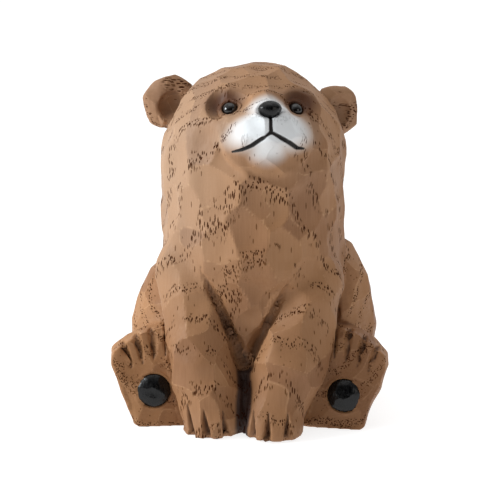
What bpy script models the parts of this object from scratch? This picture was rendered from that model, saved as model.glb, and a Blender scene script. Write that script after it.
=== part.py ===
"""Seated bear looking up, carved in wood: one block, with glued ears and hind legs.

Millimetres throughout, turned to metres by the mesh helpers. +Z is up and the bear faces -Y. The origin is
under the middle of the figure, on the surface that it stands on. Left and right are the bear's: its left is +X.
"""

import math

import bmesh
import bpy
from mathutils import Euler, Matrix, Vector
from mathutils.bvhtree import BVHTree

MM = 0.001
GAP = 0.3  # glue line between two pieces, and play around a peg
LONG = 200.0  # a cutter that reaches past everything
GROOVE_LIFT = 1.5  # how far a groove's cutter stands out of the skin

# Head and face. Points on the face are (right, up, forward) from the head's centre.
HEAD_CENTRE = Vector((2.2, -3.0, 108.2))
HEAD_RADII = (37.0, 35.5, 36.4)
FACE_YAW, FACE_PITCH = 12.0, 33.0  # degrees towards the bear's left, and up
EYES = {"right": (-13.2, 6.6), "left": (12.4, 5.2)}
EYE_RADIUS, EYE_SUNK = 3.0, 1.2
SHANK_RADIUS, SHANK_LENGTH = 0.9, 6.5
NOSE_AT = (0.0, 0.6)
NOSE_RADII = (4.6, 3.4, 3.4)
NOSE_SUNK, NOSE_TAPER = 0.6, 0.28
NOSE_PEG_RADIUS, NOSE_PEG_LENGTH = 1.5, 7.0
EYE_SCOOPS = {
    "right": ((-15.5, 10.5, 42.2), (11.0, 10.0, 12.5)),
    "left": ((14.8, 8.0, 42.0), (9.0, 9.0, 11.5)),
}
MOUTH_LINE = ((0.0, -1.5), (-0.2, -4.0), (-0.4, -6.5), (-0.4, -9.0))
LIPS = {
    "right": ((-0.4, -8.8), (-4.0, -10.2), (-7.6, -11.0), (-11.0, -11.4), (-13.8, -10.8)),
    "left": ((-0.4, -8.8), (3.4, -10.6), (7.0, -12.0), (10.6, -13.2), (13.6, -13.6)),
}
MOUTH_WIDTH, MOUTH_DEPTH = 1.2, 0.6

# Ears, each a hollowed disc let into the head.
EARS = {
    "right": (Vector((-31.8, 3.0, 127.0)), (11.2, 4.4, 11.4), (6.0, 14.0, 10.0)),
    "left": (Vector((34.4, 12.0, 122.0)), (10.2, 4.4, 11.4), (6.0, -16.0, 20.0)),
}
EAR_BOWL_AT, EAR_BOWL_RADII = (0.0, -6.2, 0.8), (6.8, 5.4, 7.4)
EAR_LET_IN = 33.6  # from the head's centre to the floor of the ear's socket
EAR_PEG_RADIUS, EAR_PEG_REACH, EAR_PEG_BEHIND = 1.25, 4.5, 1.7

# Hind legs, each let into a pocket in the flank. The pocket's floor is flat: one plane for the haunch and, in
# front of KNEE_Y, one for the foot, each with its half-width at the ground and its lean outwards in degrees.
HAUNCH_SEATS = {"right": (25.0, 3.0), "left": (25.0, 3.0)}
FOOT_SEATS = {"right": (26.0, 9.8), "left": (24.6, 13.5)}
KNEE_Y = -15.0
HAUNCHES = {"right": ((-31.8, 10, 26), (18.4, 27, 34.6)), "left": ((33, 10, 31), (19.8, 28, 39.5))}
FEET = {"right": (Vector((-39.0, -31.5, 0.0)), 8.0), "left": (Vector((42.0, -31.5, 0.0)), -8.0)}
SOLE_TILT = 8.0
# The foot's outline as (outward, up) on the sole, and its toe grooves as (outward, up) at the tip, then at the
# other end.
FOOT_OUTLINE = (
    (-18, -4), (3.4, -4), (5, 0.5), (13.6, 25), (13.7, 30.5), (8.6, 35.6), (1.5, 39.4), (-6, 41), (-18, 40),
)
FOOT_THICK, SOLE_MIDDLE = 15.0, 10.0
TOE_GROOVES = (
    (10.2, 37.0, 6.8, 24.5),
    (4.6, 40.5, 2.2, 27.0),
    (-2.4, 43.0, -2.8, 29.0),
    (-9.4, 43.5, -8.6, 30.0),
)
TOE_GROOVE_WIDTH, TOE_GROOVE_DEPTH = 2.6, 2.2
PAD_AT = {"right": (2.1, 14.8), "left": (-2.9, 13.8)}
PAD_RADIUS, PAD_DOME, PAD_SUNK = 6.8, 1.5, 1.4
PAD_PEG_RADIUS, PAD_PEG_LENGTH = 1.5, 6.0
LEG_PEG_RADIUS, LEG_PEG_REACH = 3.0, 9.0
LEG_PEGS = {"upper": (12.0, 40.0), "lower": (8.0, 15.0)}  # Y and Z where each peg crosses the seat

# Toe grooves of the front paws: X at the top, X at the floor, and the height of the top.
PAW_GROOVES = {
    "right": ((-23.0, -21.0, 12.5), (-16.4, -14.6, 12.2), (-8.4, -6.8, 11.0)),
    "left": ((3.6, 3.4, 11.0), (9.8, 9.2, 11.0), (17.4, 17.0, 11.0)),
}
PAW_GROOVE_WIDTH, PAW_GROOVE_DEPTH = 2.4, 1.8
# The cuts between front legs and belly, as (X, Z) seen from the front.
BELLY_CUTS = {
    "right": (
        (-18.0, 68.0), (-13.5, 57.0), (-8.5, 46.0), (-4.0, 36.0), (-0.6, 27.0), (-0.3, 18.0), (-0.3, 8.0),
    ),
    "left": ((17.6, 63.0), (13.2, 54.0), (8.6, 44.5), (4.4, 36.0), (0.6, 28.0)),
}
BELLY_CUT_WIDTH, BELLY_CUT_DEPTH = 5.0, 2.2

WOOD = ("carved_wood", (0.42, 0.25, 0.15), 0.62)
PEG_WOOD = ("peg_wood", (0.60, 0.45, 0.28), 0.55)
BLACK_GLASS = ("black_glass", (0.01, 0.01, 0.01), 0.08)
BLACK_LACQUER = ("black_lacquer", (0.015, 0.015, 0.017), 0.22)

OUTWARD = {"left": 1, "right": -1}


def scene_reset():
    for obj in list(bpy.data.objects):
        bpy.data.objects.remove(obj)


def collection(name, hidden=False):
    made = bpy.data.collections.new(name)
    made.hide_render = hidden
    bpy.context.scene.collection.children.link(made)
    return made


def material(name, colour, roughness):
    found = bpy.data.materials.get(name)
    if found:
        return found
    mat = bpy.data.materials.new(name)
    mat.use_nodes = True
    shader = mat.node_tree.nodes["Principled BSDF"]
    shader.inputs["Base Color"].default_value = (*colour, 1)
    shader.inputs["Roughness"].default_value = roughness
    shader.inputs["Metallic"].default_value = 0
    return mat


def turned(degrees):
    return Euler([math.radians(a) for a in degrees]).to_matrix().to_4x4()


def sized(radii):
    return Matrix.Diagonal((*radii, 1))


def sphere(bm, matrix, rounds=28):
    """A unit sphere under a matrix in millimetres."""
    bmesh.ops.create_uvsphere(
        bm, u_segments=rounds, v_segments=rounds // 2, radius=1, matrix=Matrix.Scale(MM, 4) @ matrix
    )


def lump(bm, centre, radii, turn=(0, 0, 0), rounds=28):
    sphere(bm, Matrix.Translation(centre) @ turned(turn) @ sized(radii), rounds)


def rod(bm, start, direction, length, radius, end_radius=None, sides=24):
    """A straight round bar, or a slice of a cone, from a start along a direction."""
    along = Vector(direction).normalized()
    aim = along.to_track_quat("Z", "Y").to_matrix().to_4x4()
    bmesh.ops.create_cone(
        bm,
        cap_ends=True,
        segments=sides,
        radius1=radius * MM,
        radius2=(radius if end_radius is None else end_radius) * MM,
        depth=length * MM,
        matrix=Matrix.Translation((Vector(start) + along * length / 2) * MM) @ aim,
    )


def limb(bm, points, radii):
    """Rounded, tapering bars through a row of points."""
    for i in range(len(points) - 1):
        span = Vector(points[i + 1]) - Vector(points[i])
        rod(bm, points[i], span, span.length, radii[i], radii[i + 1])
    for point, radius in zip(points, radii):
        lump(bm, point, (radius,) * 3)


def block(bm, centre, size, turn=(0, 0, 0)):
    matrix = Matrix.Scale(MM, 4) @ Matrix.Translation(centre) @ turned(turn) @ sized(size)
    bmesh.ops.create_cube(bm, size=1, matrix=matrix)


def slab(bm, outline, thickness, matrix):
    """A flat shape of (x, z) points, thickened along +Y, under a matrix in millimetres."""
    front = [bm.verts.new(matrix @ Vector((x, 0, z)) * MM) for x, z in outline]
    back = [bm.verts.new(matrix @ Vector((x, thickness, z)) * MM) for x, z in outline]
    bm.faces.new(front)
    bm.faces.new(back[::-1])
    for i in range(len(outline)):
        j = (i + 1) % len(outline)
        bm.faces.new((front[j], front[i], back[i], back[j]))
    bmesh.ops.recalc_face_normals(bm, faces=bm.faces)


def to_object(bm, name, group, finish=None):
    """An object from a mesh being built. One with no finish is a cutter."""
    mesh = bpy.data.meshes.new(name)
    bm.to_mesh(mesh)
    bm.free()
    obj = bpy.data.objects.new(name, mesh)
    group.objects.link(obj)
    if finish:
        mesh.materials.append(material(*finish))
    else:
        obj.display_type = "WIRE"
        obj.hide_render = True
    return obj


def shaded_smooth(obj, angle=40):
    obj.data.shade_smooth()
    obj.data.set_sharp_from_angle(angle=math.radians(angle))


def baked(obj):
    """Swaps an object's mesh for the one that its modifiers make."""
    graph = bpy.context.evaluated_depsgraph_get()
    mesh = bpy.data.meshes.new_from_object(obj.evaluated_get(graph))
    obj.modifiers.clear()
    obj.data = mesh


def one_skin(obj, voxel, smoothing, share):
    """Turns overlapping lumps into one closed skin, softens it and thins its triangles."""
    skin = obj.modifiers.new("skin", "REMESH")
    skin.mode = "VOXEL"
    skin.voxel_size = voxel * MM
    soft = obj.modifiers.new("soft", "SMOOTH")
    soft.factor = 0.5
    soft.iterations = smoothing
    thin = obj.modifiers.new("thin", "DECIMATE")
    thin.ratio = share
    thin.use_collapse_triangulate = True
    baked(obj)


def cut(obj, cutter, operation="DIFFERENCE"):
    made = obj.modifiers.new(cutter.name, "BOOLEAN")
    made.operation = operation
    made.solver = "EXACT"
    made.object = cutter


def skin_of(obj):
    graph = bpy.context.evaluated_depsgraph_get()
    return BVHTree.FromObject(obj, graph)


def touch(tree, start, direction):
    """Where a line first meets a skin, and the normal there, in millimetres."""
    hit, normal, _, _ = tree.ray_cast(Vector(start) * MM, Vector(direction))
    return hit / MM, normal


def groove(bm, path, width, depth, fade=0.25):
    """A cutter with a V section along (point, normal) stations on a skin, shallow at both ends."""
    out = sum((normal for _, normal in path), Vector()).normalized()
    last = len(path) - 1
    rings = []
    for i, (point, _) in enumerate(path):
        along = path[min(i + 1, last)][0] - path[max(i - 1, 0)][0]
        across = out.cross(along).normalized()
        full = fade if i in (0, last) else 1.0
        half = width / 2 * full * (1 + GROOVE_LIFT / depth / full * 0.5)
        raised = point + out * GROOVE_LIFT
        ring = (point - out * depth * full, raised + across * half, raised - across * half)
        rings.append([bm.verts.new(co * MM) for co in ring])
    start = len(bm.faces)
    bm.faces.new(rings[0])
    bm.faces.new(rings[-1][::-1])
    for a, b in zip(rings, rings[1:]):
        for i in range(3):
            j = (i + 1) % 3
            bm.faces.new((a[j], a[i], b[i]))
            bm.faces.new((a[j], b[i], b[j]))
    bm.faces.ensure_lookup_table()
    bmesh.ops.recalc_face_normals(bm, faces=bm.faces[start:])


def face_frame():
    yaw, pitch = math.radians(FACE_YAW), math.radians(FACE_PITCH)
    right = Vector((math.cos(yaw), math.sin(yaw), 0))
    level = Vector((math.sin(yaw), -math.cos(yaw), 0))
    up = Vector((0, 0, math.cos(pitch))) - level * math.sin(pitch)
    forward = level * math.cos(pitch) + Vector((0, 0, math.sin(pitch)))
    return Matrix.Translation(HEAD_CENTRE) @ Matrix((right, up, forward)).transposed().to_4x4()


FACE = face_frame()
FORWARD = FACE.col[2].to_3d()


def face_lump(bm, centre, radii, turn=(0, 0, 0)):
    sphere(bm, FACE @ Matrix.Translation(centre) @ turned(turn) @ sized(radii))


def face_touch(tree, spot):
    """The point and normal on the face's skin straight behind a (right, up) spot."""
    return touch(tree, FACE @ Vector((*spot, 80)), -FORWARD)


def seat_outward(side):
    lean = math.radians(HAUNCH_SEATS[side][1])
    return Vector((OUTWARD[side] * math.cos(lean), 0, -math.sin(lean)))


def seat_point(seat, side, y, z):
    half, lean = seat[side]
    return Vector((OUTWARD[side] * (half + z * math.tan(math.radians(lean))), y, z))


def flank_block(bm, seat, side, near_y, far_y, gap):
    """The body's side of a seat, up to a gap outside it."""
    lean = math.radians(seat[side][1])
    sign = OUTWARD[side]
    edge = [(seat_point(seat, side, 0, z).x + sign * gap / math.cos(lean), z) for z in (-LONG / 4, LONG)]
    outline = (edge[0], edge[1], (edge[1][0] - sign * LONG, LONG), (edge[0][0] - sign * LONG, -LONG / 4))
    slab(bm, outline, far_y - near_y, Matrix.Translation((0, near_y, 0)))


def leg_solid(name, side, group, cutters, spare=0.0, finish=None):
    """A hind leg's outer form, flat on the seats. As a pocket's cutter it is larger by a spare."""
    sign = OUTWARD[side]
    bm = bmesh.new()
    centre, radii = HAUNCHES[side]
    lump(bm, centre, [r + spare for r in radii])
    lump(bm, (sign * 36, 1, 18), (14 + spare, 21 + spare, 21 + spare))
    outline = []
    for x, z in FOOT_OUTLINE:
        outline.append((sign * (x + math.copysign(spare, x)), z + math.copysign(spare, z - SOLE_MIDDLE)))
    slab(bm, outline, FOOT_THICK + 2 * spare, foot_frame(side) @ Matrix.Translation((0, -spare, 0)))
    leg = to_object(bm, name, group, finish)
    one_skin(leg, 1.2, 0 if spare else 3, 0.06 if spare else 0.075)
    knee = KNEE_Y + GAP - spare
    gap = GAP - spare
    sides = (("haunch", HAUNCH_SEATS, knee - 1, LONG), ("foot", FOOT_SEATS, -LONG, knee))
    for part, seat, near_y, far_y in sides:
        bm = bmesh.new()
        flank_block(bm, seat, side, near_y, far_y, gap)
        cut(leg, to_object(bm, f"{name}_{part}_side", cutters))
    return leg


def body_lumps(bm):
    """Head, trunk and front legs as overlapping rounded masses."""
    lump(bm, HEAD_CENTRE, HEAD_RADII)
    limb(bm, ((2.2, -3, 107), (2.0, -1.5, 74)), (36.4, 37.6))
    lump(bm, (1.8, 1, 62), (38.2, 37, 42))
    lump(bm, (0.8, 8, 40), (38.5, 38, 47))
    lump(bm, (0, 10, 24), (40, 38, 37))
    lump(bm, (0, 47, 16), (6.5, 6, 9.5), (18, 0, 0))
    limb(bm, ((-23, -15, 64), (-16.5, -30, 26), (-14.4, -32.5, 10)), (14, 14.4, 13.4))
    limb(bm, ((26.5, -15, 60), (17.6, -30, 29), (12.8, -33.5, 11)), (13.4, 15, 12.8))
    limb(bm, ((0, -22, 36), (-0.6, -31, 6)), (9, 8))
    lump(bm, (-13.6, -34.5, 5), (12.9, 12.6, 12.5))
    lump(bm, (12.2, -36.5, 5), (12.4, 12.4, 12.5))


def face_lumps(bm):
    """Muzzle, bridge of the nose, lips and chin."""
    face_lump(bm, (0, -5.0, 30), (16.2, 11.4, 15.0))
    face_lump(bm, (0, -0.5, 37), (8.6, 6.2, 8.6))
    face_lump(bm, (0, 5, 31), (8.0, 8.0, 10.0))
    face_lump(bm, (0, -14.0, 27), (10.5, 7.5, 9.5))


def carve_face(body, tree, cutters):
    bm = bmesh.new()
    for centre, radii in EYE_SCOOPS.values():
        face_lump(bm, centre, radii)
    cut(body, to_object(bm, "eye_scoops", cutters))
    bm = bmesh.new()
    groove(bm, [face_touch(tree, spot) for spot in MOUTH_LINE], MOUTH_WIDTH, MOUTH_DEPTH, 0.6)
    cut(body, to_object(bm, "mouth_line", cutters))
    for side, spots in LIPS.items():
        bm = bmesh.new()
        groove(bm, [face_touch(tree, spot) for spot in spots], MOUTH_WIDTH, MOUTH_DEPTH)
        cut(body, to_object(bm, side + "_lip_line", cutters))


def carve_paws(body, tree, cutters):
    for side, grooves in PAW_GROOVES.items():
        for number, (top_x, foot_x, top_z) in enumerate(grooves):
            bm = bmesh.new()
            path = []
            for step in range(5):
                t = step / 4
                start = (top_x + (foot_x - top_x) * t, -LONG, top_z + (-3 - top_z) * t)
                path.append(touch(tree, start, (0, 1, 0)))
            groove(bm, path, PAW_GROOVE_WIDTH, PAW_GROOVE_DEPTH)
            cut(body, to_object(bm, f"{side}_paw_groove_{number}", cutters))


def carve_belly(body, tree, cutters):
    for side, spots in BELLY_CUTS.items():
        bm = bmesh.new()
        path = [touch(tree, (x, -LONG, z), (0, 1, 0)) for x, z in spots]
        groove(bm, path, BELLY_CUT_WIDTH, BELLY_CUT_DEPTH, 0.15)
        cut(body, to_object(bm, side + "_belly_cut", cutters))


def fit_eye(side, body, tree, group, cutters):
    """A glass bead on a shank, and its socket in the head."""
    at, _ = face_touch(tree, EYES[side])
    centre = at - FORWARD * EYE_SUNK
    for name, spare, home, finish in (
        (side + "_eye", 0, group, BLACK_GLASS),
        (side + "_eye_socket", GAP, cutters, None),
    ):
        bead, shank = bmesh.new(), bmesh.new()
        lump(bead, centre, (EYE_RADIUS + spare,) * 3, rounds=20)
        rod(shank, centre, -FORWARD, SHANK_LENGTH + spare, SHANK_RADIUS + spare, sides=16)
        made = to_object(bead, name, home, finish)
        cut(made, to_object(shank, name + "_shank", cutters), "UNION")
        shaded_smooth(made, 50)
    cut(body, made)


def fit_nose(body, tree, group, cutters):
    """A domed, lacquered nose on a peg: wider at the top, and its socket in the muzzle."""
    at, _ = face_touch(tree, NOSE_AT)
    right, up, forward = NOSE_RADII
    turn = FACE.to_3x3().to_4x4()
    centre = at - FORWARD * NOSE_SUNK
    for name, spare, home, finish in (("nose", 0, group, BLACK_LACQUER), ("nose_socket", GAP, cutters, None)):
        dome, peg = bmesh.new(), bmesh.new()
        bmesh.ops.create_uvsphere(dome, u_segments=24, v_segments=12, radius=1)
        for vert in dome.verts:
            vert.co.x *= 1 - NOSE_TAPER * max(0.0, -vert.co.y)
        size = sized((right + spare, up + spare, forward + spare))
        matrix = Matrix.Scale(MM, 4) @ Matrix.Translation(centre) @ turn @ size
        bmesh.ops.transform(dome, matrix=matrix, verts=dome.verts)
        rod(peg, centre, -FORWARD, NOSE_PEG_LENGTH + spare, NOSE_PEG_RADIUS + spare, sides=16)
        made = to_object(dome, name, home, finish)
        cut(made, to_object(peg, name + "_peg", cutters), "UNION")
        shaded_smooth(made, 50)
    cut(body, made)


def ear_solid(name, side, spare, group, finish=None):
    """A thick disc that swells where it meets the head. As a socket's cutter it is larger by a spare."""
    centre, radii, turn = EARS[side]
    bm = bmesh.new()
    lump(bm, centre, [r + spare for r in radii], turn, rounds=32)
    inward = (HEAD_CENTRE - centre).normalized()
    root = (radii[0] * 0.86, radii[1] * 1.2, radii[2] * 0.86)
    lump(bm, centre + inward * 5, [r + spare for r in root], turn)
    return to_object(bm, name, group, finish)


def fit_ear(side, body, group, cutters):
    """An ear with its bowl, its socket in the head, and the dowel through both."""
    centre, _, turn = EARS[side]
    inward = (HEAD_CENTRE - centre).normalized()
    ear = ear_solid(side + "_ear", side, 0, group, WOOD)
    one_skin(ear, 0.7, 3, 0.1)
    bm = bmesh.new()
    bowl = Matrix.Translation(centre) @ turned(turn) @ Matrix.Translation(EAR_BOWL_AT) @ sized(EAR_BOWL_RADII)
    sphere(bm, bowl, 24)
    cut(ear, to_object(bm, side + "_ear_bowl", cutters))

    floor = HEAD_CENTRE - inward * EAR_LET_IN
    bm = bmesh.new()
    rod(bm, floor - inward * GAP, inward, 40, 40)
    cut(ear, to_object(bm, side + "_ear_foot", cutters))
    socket = ear_solid(side + "_ear_socket", side, GAP, cutters)
    one_skin(socket, 0.8, 0, 0.15)
    bm = bmesh.new()
    rod(bm, floor, inward, 40, 40)
    cut(socket, to_object(bm, side + "_socket_floor", cutters))
    cut(body, socket)

    back = (turned(turn).to_3x3() @ Vector((0, 1, 0))) * EAR_PEG_BEHIND
    outer = floor + back - inward * EAR_PEG_REACH
    length = EAR_PEG_REACH * 2
    bm = bmesh.new()
    rod(bm, outer, inward, length, EAR_PEG_RADIUS, sides=20)
    shaded_smooth(to_object(bm, side + "_ear_dowel", group, PEG_WOOD))
    bm = bmesh.new()
    rod(bm, outer - inward * GAP, inward, length + 2 * GAP, EAR_PEG_RADIUS + GAP, sides=20)
    bore = to_object(bm, side + "_ear_bore", cutters)
    cut(body, bore)
    cut(ear, bore)
    shaded_smooth(ear)


def foot_frame(side):
    """A foot's frame: X outward for the bear's left, +Y into the sole, Z up the sole."""
    origin, splay = FEET[side]
    return Matrix.Translation(origin) @ turned((0, 0, splay)) @ turned((-SOLE_TILT, 0, 0))


def make_leg(side, body, group, cutters):
    sign = OUTWARD[side]
    frame = foot_frame(side)
    into = (frame.to_3x3() @ Vector((0, 1, 0))).normalized()
    cut(body, leg_solid(side + "_leg_pocket", side, cutters, cutters, spare=GAP))
    leg = leg_solid(side + "_hind_leg", side, group, cutters, finish=WOOD)
    tree = skin_of(leg)

    for number, (top_x, top_z, foot_x, foot_z) in enumerate(TOE_GROOVES):
        bm = bmesh.new()
        path = []
        for step in range(4):
            t = step / 3
            spot = Vector((sign * (top_x + (foot_x - top_x) * t), 0, top_z + (foot_z - top_z) * t))
            path.append((frame @ spot, -into))
        groove(bm, path, TOE_GROOVE_WIDTH, TOE_GROOVE_DEPTH, 0.6)
        cut(leg, to_object(bm, f"{side}_toe_groove_{number}", cutters))

    at, _ = touch(tree, frame @ Vector((PAD_AT[side][0], -20, PAD_AT[side][1])), into)
    make_pad(side, leg, at, into, group, cutters)

    bm = bmesh.new()
    block(bm, (0, 0, -LONG / 2), (LONG * 2, LONG * 2, LONG))
    cut(leg, to_object(bm, side + "_leg_floor", cutters))
    return leg


def make_pad(side, leg, at, into, group, cutters):
    """A domed, lacquered disc on a peg, let into the sole."""
    bm = bmesh.new()
    rod(bm, at - into * 6, into, 6 + PAD_SUNK, PAD_RADIUS + GAP, sides=40)
    cut(leg, to_object(bm, side + "_pad_recess", cutters))
    bm = bmesh.new()
    floor = at + into * (PAD_SUNK - GAP)
    aim = into.to_track_quat("Z", "Y").to_matrix().to_4x4()
    dome = sized((PAD_RADIUS, PAD_RADIUS, PAD_DOME + PAD_SUNK))
    sphere(bm, Matrix.Translation(floor) @ aim @ dome)
    pad = to_object(bm, side + "_paw_pad", group, BLACK_LACQUER)
    bm = bmesh.new()
    rod(bm, floor, into, 20, 20)
    cut(pad, to_object(bm, side + "_pad_back", cutters))
    bm = bmesh.new()
    rod(bm, floor - into * 1, into, 1 + PAD_PEG_LENGTH, PAD_PEG_RADIUS, sides=20)
    cut(pad, to_object(bm, side + "_pad_peg", cutters), "UNION")
    bm = bmesh.new()
    rod(bm, floor - into * 1, into, 1 + PAD_PEG_LENGTH + GAP, PAD_PEG_RADIUS + GAP, sides=20)
    cut(leg, to_object(bm, side + "_pad_bore", cutters))
    shaded_smooth(pad, 35)


def peg_leg(side, leg, body, group, cutters):
    """Two dowels across each seat, and their bores in the leg and the body."""
    outward = seat_outward(side)
    for level, (y, z) in LEG_PEGS.items():
        start = seat_point(HAUNCH_SEATS, side, y, z) - outward * LEG_PEG_REACH
        length = LEG_PEG_REACH * 2
        bm = bmesh.new()
        rod(bm, start, outward, length, LEG_PEG_RADIUS)
        shaded_smooth(to_object(bm, f"{side}_leg_dowel_{level}", group, PEG_WOOD))
        bm = bmesh.new()
        rod(bm, start - outward * GAP, outward, length + 2 * GAP, LEG_PEG_RADIUS + GAP)
        bore = to_object(bm, f"{side}_leg_bore_{level}", cutters)
        cut(body, bore)
        cut(leg, bore)
    shaded_smooth(leg)


def make_body(group, cutters):
    bm = bmesh.new()
    body_lumps(bm)
    face_lumps(bm)
    body = to_object(bm, "body", group, WOOD)
    one_skin(body, 1.4, 14, 0.065)
    tree = skin_of(body)
    carve_belly(body, tree, cutters)
    carve_paws(body, tree, cutters)
    carve_face(body, tree, cutters)
    scooped = skin_of(body)
    bm = bmesh.new()
    block(bm, (0, 0, -LONG / 2), (LONG * 2, LONG * 2, LONG))
    cut(body, to_object(bm, "body_floor", cutters))
    fit_nose(body, tree, group, cutters)
    for side in OUTWARD:
        fit_eye(side, body, scooped, group, cutters)
        fit_ear(side, body, group, cutters)
    return body


def centre_on_origin(group, cutters):
    """Moves every piece and cutter so that the origin lies under the middle of the figure."""
    graph = bpy.context.evaluated_depsgraph_get()
    corners = []
    for obj in group.objects:
        corners.extend(Vector(corner) for corner in obj.evaluated_get(graph).bound_box)
    for axis in (0, 1):
        places = [corner[axis] for corner in corners]
        middle = (min(places) + max(places)) / 2
        for obj in (*group.objects, *cutters.objects):
            obj.location[axis] -= middle


def main():
    scene_reset()
    group = collection("seated_bear")
    cutters = collection("cutters", hidden=True)
    body = make_body(group, cutters)
    for side in OUTWARD:
        leg = make_leg(side, body, group, cutters)
        peg_leg(side, leg, body, group, cutters)
    shaded_smooth(body)
    centre_on_origin(group, cutters)


main()
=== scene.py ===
"""Looks of the seated bear: gouge-carved wood with open pores, an airbrushed muzzle, black glass and lacquer.

Millimetres throughout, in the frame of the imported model: +Z is up, the bear faces -Y, its left side is +X.
"""

import math

import bmesh
import bpy
import numpy as np
from mathutils import Euler, Matrix, Vector
from mathutils.bvhtree import BVHTree


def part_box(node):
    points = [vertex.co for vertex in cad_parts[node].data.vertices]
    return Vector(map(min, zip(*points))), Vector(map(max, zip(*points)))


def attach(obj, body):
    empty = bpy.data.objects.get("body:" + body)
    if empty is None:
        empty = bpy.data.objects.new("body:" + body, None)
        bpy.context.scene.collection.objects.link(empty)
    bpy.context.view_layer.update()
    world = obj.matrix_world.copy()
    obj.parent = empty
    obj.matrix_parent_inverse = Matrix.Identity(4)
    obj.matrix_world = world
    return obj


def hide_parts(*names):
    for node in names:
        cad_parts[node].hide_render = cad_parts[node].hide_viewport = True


MM = 0.001
UP = np.array((0.0, 0.0, 1.0))
SIDES = {"left": 1, "right": -1}

# What the carving tells the wood's material about each point: its facet's tone, how near a ridge it is, how
# much painted shade darkens it in a cut, its brown paint and painted shade, its pale paint and painted light,
# and how white or black it is painted.
MARKS = ("tone", "ridge", "shade", "umber_and_painted_shade", "overspray_and_painted_light", "white", "black")

# The head's middle and the way that the face looks: turned to the bear's left, and up.
HEAD = np.array((0.74, -5.3, 108.2))
FACE_YAW, FACE_PITCH = math.radians(12), math.radians(33)

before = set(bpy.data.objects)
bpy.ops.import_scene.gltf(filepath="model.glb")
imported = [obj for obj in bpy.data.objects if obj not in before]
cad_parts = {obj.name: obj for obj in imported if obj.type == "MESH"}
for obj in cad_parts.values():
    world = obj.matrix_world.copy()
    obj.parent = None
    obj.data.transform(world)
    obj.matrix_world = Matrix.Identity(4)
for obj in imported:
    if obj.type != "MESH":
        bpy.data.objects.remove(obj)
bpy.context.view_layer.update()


# Numbers and shapes


def face_axes():
    """Rows: right, up and forward of the face, as the viewer sees them."""
    right = np.array((math.cos(FACE_YAW), math.sin(FACE_YAW), 0))
    level = np.array((math.sin(FACE_YAW), -math.cos(FACE_YAW), 0))
    up = UP * math.cos(FACE_PITCH) - level * math.sin(FACE_PITCH)
    forward = level * math.cos(FACE_PITCH) + UP * math.sin(FACE_PITCH)
    return np.array((right, up, forward))


FACE = face_axes()


def ramp(value, low, high):
    """0 below low, 1 above high, eased between them. It falls where low is above high."""
    t = np.clip((value - low) / (high - low), 0, 1)
    return t * t * (3 - 2 * t)


def linear(hexed):
    """An sRGB hex colour as linear red, green, blue and alpha."""
    parts = [int(hexed[i : i + 2], 16) / 255 for i in (1, 3, 5)]
    return tuple(c / 12.92 if c <= 0.04045 else ((c + 0.055) / 1.055) ** 2.4 for c in parts) + (1.0,)


def points_of(mesh):
    co = np.empty(len(mesh.vertices) * 3, np.float32)
    mesh.vertices.foreach_get("co", co)
    return co.reshape(-1, 3).astype(float) / MM


def normals_of(mesh):
    out = np.empty(len(mesh.vertices) * 3, np.float32)
    mesh.vertex_normals.foreach_get("vector", out)
    return out.reshape(-1, 3).astype(float)


def put_points(mesh, co):
    mesh.vertices.foreach_set("co", (co * MM).astype(np.float32).ravel())
    mesh.update()


def put_marks(mesh, marks):
    """Writes a float for each point and each of MARKS. A mark that isn't given is 0 everywhere."""
    for name in MARKS:
        values = marks.get(name, np.zeros(len(mesh.vertices)))
        attribute = mesh.attributes.new(name, "FLOAT", "POINT")
        attribute.data.foreach_set("value", values.astype(np.float32))


def ellipsoid_share(co, centre, radii):
    """How far each point is from an ellipsoid's middle: 0 there, and 1 on its skin."""
    return np.linalg.norm((co - centre) / radii, axis=1)


def distance_to_path(co, path):
    """Each point's distance to a row of straight runs, and how far along it that place is, 0 to 1."""
    path = np.array(path, float)
    runs = np.linalg.norm(np.diff(path, axis=0), axis=1)
    starts = np.concatenate(((0,), np.cumsum(runs)))
    best = np.full(len(co), 1e9)
    along = np.zeros(len(co))
    for i, length in enumerate(runs):
        span = path[i + 1] - path[i]
        t = np.clip((co - path[i]) @ span / length**2, 0, 1)
        away = np.linalg.norm(co - path[i] - t[:, None] * span, axis=1)
        nearer = away < best
        best[nearer] = away[nearer]
        along[nearer] = (starts[i] + t[nearer] * length) / starts[-1]
    return best, along


def new_object(bm, name, smooth_angle=None):
    mesh = bpy.data.meshes.new(name)
    bm.to_mesh(mesh)
    bm.free()
    obj = bpy.data.objects.new(name, mesh)
    bpy.context.scene.collection.objects.link(obj)
    mesh.shade_smooth()
    if smooth_angle is not None:
        mesh.set_sharp_from_angle(angle=math.radians(smooth_angle))
    return obj


def dress(obj, finish, slot, *nodes):
    """Gives a finished piece its material, hangs it on the root, and hides the CAD nodes that it replaces."""
    obj.data.materials.clear()
    obj.data.materials.append(finish)
    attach(obj, "root")
    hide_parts(*nodes)
    return obj


# Carving

# Cuts fade out between these distances from a joined piece, and between these heights above the ground.
GLUE_LINE, GROUND_EDGE = (0.55, 1.9), (0.2, 1.5)
NEAR, FAR = 3, 99.0  # only points this near to a piece's box are measured, and the others count as far
MOST_STARTS = 9000  # points tried as the middle of a cut


def tree_of(mesh):
    return BVHTree.FromPolygons([v.co for v in mesh.vertices], [tuple(p.vertices) for p in mesh.polygons])


def fine_copy(node, voxel, smoothing):
    """A CAD node's shape as an even skin of small faces, ready to carve."""
    bm = bmesh.new()
    bm.from_mesh(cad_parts[node].data)
    bmesh.ops.remove_doubles(bm, verts=bm.verts, dist=0.001 * MM)
    obj = new_object(bm, node + "_carved")
    skin = obj.modifiers.new("skin", "REMESH")
    skin.mode = "VOXEL"
    skin.voxel_size = voxel * MM
    soft = obj.modifiers.new("soft", "SMOOTH")
    soft.factor = 0.5
    soft.iterations = smoothing
    graph = bpy.context.evaluated_depsgraph_get()
    mesh = bpy.data.meshes.new_from_object(obj.evaluated_get(graph))
    obj.modifiers.clear()
    obj.data = mesh
    return obj


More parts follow.
